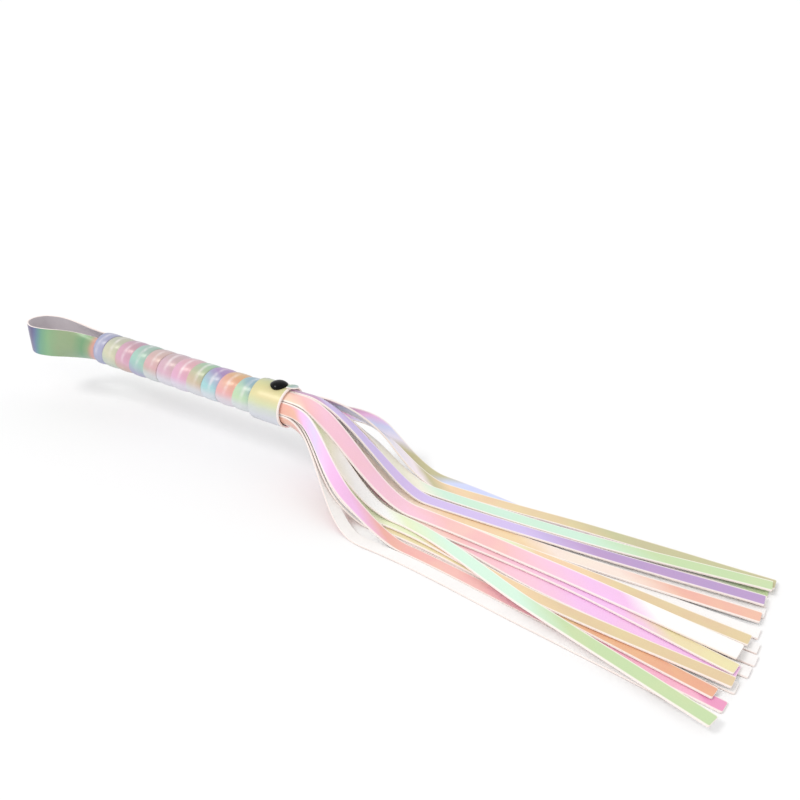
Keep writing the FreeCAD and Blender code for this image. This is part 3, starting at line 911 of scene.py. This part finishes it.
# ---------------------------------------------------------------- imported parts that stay

def finish_packed_parts():
    """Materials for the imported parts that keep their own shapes."""
    steel = mottled("wire_steel", (0.42, 0.42, 0.43, 1), (0.60, 0.60, 0.61, 1), 800.0, 0.01 * MM,
                    Metallic=1.0, Roughness=0.32)
    rolled = mottled("rolled_edge", chart(240, 226, 222), chart(214, 190, 196), 700.0, 0.08 * MM,
                     Roughness=0.8)
    disc = mottled("disc_film", chart(188, 182, 220), chart(206, 214, 226), 120.0, 0.08 * MM,
                   **{**PEARL, "Roughness": 0.35})
    tabs = mottled("strap_tab_film", chart(150, 178, 140), chart(176, 172, 196), 90.0, 0.08 * MM,
                   **{**PEARL, "Roughness": 0.35})
    foam = mottled("foam", chart(232, 230, 226), chart(206, 204, 200), 1600.0, 0.10 * MM,
                   Roughness=0.95)
    finishes = {
        "core_rod": dowel_wood(),
        "foam_sleeve": foam,
        "fringe_header": rolled,
        "strap_tabs": tabs,
        "butt_disc": disc,
        "rivet_post": steel,
        "strap_tack": steel,
    }
    for name, material in finishes.items():
        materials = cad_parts[name].data.materials
        materials.clear()
        materials.append(material)


# ---------------------------------------------------------------- floor, light and camera

FLOOR_HALF = 14.0
FLOOR_GAP = 0.2 * MM
VIEW_AZIMUTH = math.radians(32.07)
VIEW_ELEVATION = math.radians(28.07)
VIEW_DISTANCE = 0.600
VIEW_TARGET = Vector((MOUTH_X + 49.1 * MM, 57.2 * MM, -6.3 * MM))
LENS = 39.15
SENSOR = 36.0
WORLD_STRENGTH = 0.92
KEY_STRENGTH = 0.82
KEY_FROM = Vector((-0.47, -0.45, 0.76))
KEY_ANGLE = math.radians(18)


def make_floor():
    """A large pale floor just under the falls."""
    work = bmesh.new()
    z = TABLE_Z - FLOOR_GAP
    corners = [(-1, -1), (1, -1), (1, 1), (-1, 1)]
    work.faces.new([work.verts.new((x * FLOOR_HALF, y * FLOOR_HALF, z)) for x, y in corners])
    material = mottled("floor", (0.93, 0.93, 0.93, 1), (0.91, 0.91, 0.912, 1), 3.0, 0.0, Roughness=0.7)
    floor = finish_mesh("floor", work, [material])


def make_light():
    """An even white surround and one wide soft key from above the butt's near side."""
    world = bpy.data.worlds.new("surround")
    bpy.context.scene.world = world
    world.use_nodes = True
    background = world.node_tree.nodes["Background"]
    background.inputs["Color"].default_value = (1.0, 1.0, 1.0, 1.0)
    background.inputs["Strength"].default_value = WORLD_STRENGTH
    key = bpy.data.lights.new("key", "SUN")
    key.energy = KEY_STRENGTH
    key.angle = KEY_ANGLE
    lamp = bpy.data.objects.new("key", key)
    lamp.rotation_euler = KEY_FROM.to_track_quat("Z", "Y").to_euler()
    bpy.context.scene.collection.objects.link(lamp)


def make_camera():
    """The camera, looking down along the falls towards the butt."""
    look = Vector((-math.sin(VIEW_AZIMUTH) * math.cos(VIEW_ELEVATION),
                   math.cos(VIEW_AZIMUTH) * math.cos(VIEW_ELEVATION), -math.sin(VIEW_ELEVATION)))
    lens = bpy.data.cameras.new("camera")
    lens.lens = LENS
    lens.sensor_width = SENSOR
    lens.clip_start = 0.01
    lens.clip_end = 100.0
    camera = bpy.data.objects.new("camera", lens)
    camera.location = VIEW_TARGET - look * VIEW_DISTANCE
    camera.rotation_euler = look.to_track_quat("-Z", "Y").to_euler()
    bpy.context.scene.collection.objects.link(camera)
    bpy.context.scene.camera = camera


wrap_piece()
collar_piece()
flap_piece()
rivet_piece()
strap_piece()
for one_fall in FALLS:
    fall_piece(one_fall)
finish_packed_parts()
make_floor()
make_light()
make_camera()
bpy.context.scene.view_settings.view_transform = "Standard"
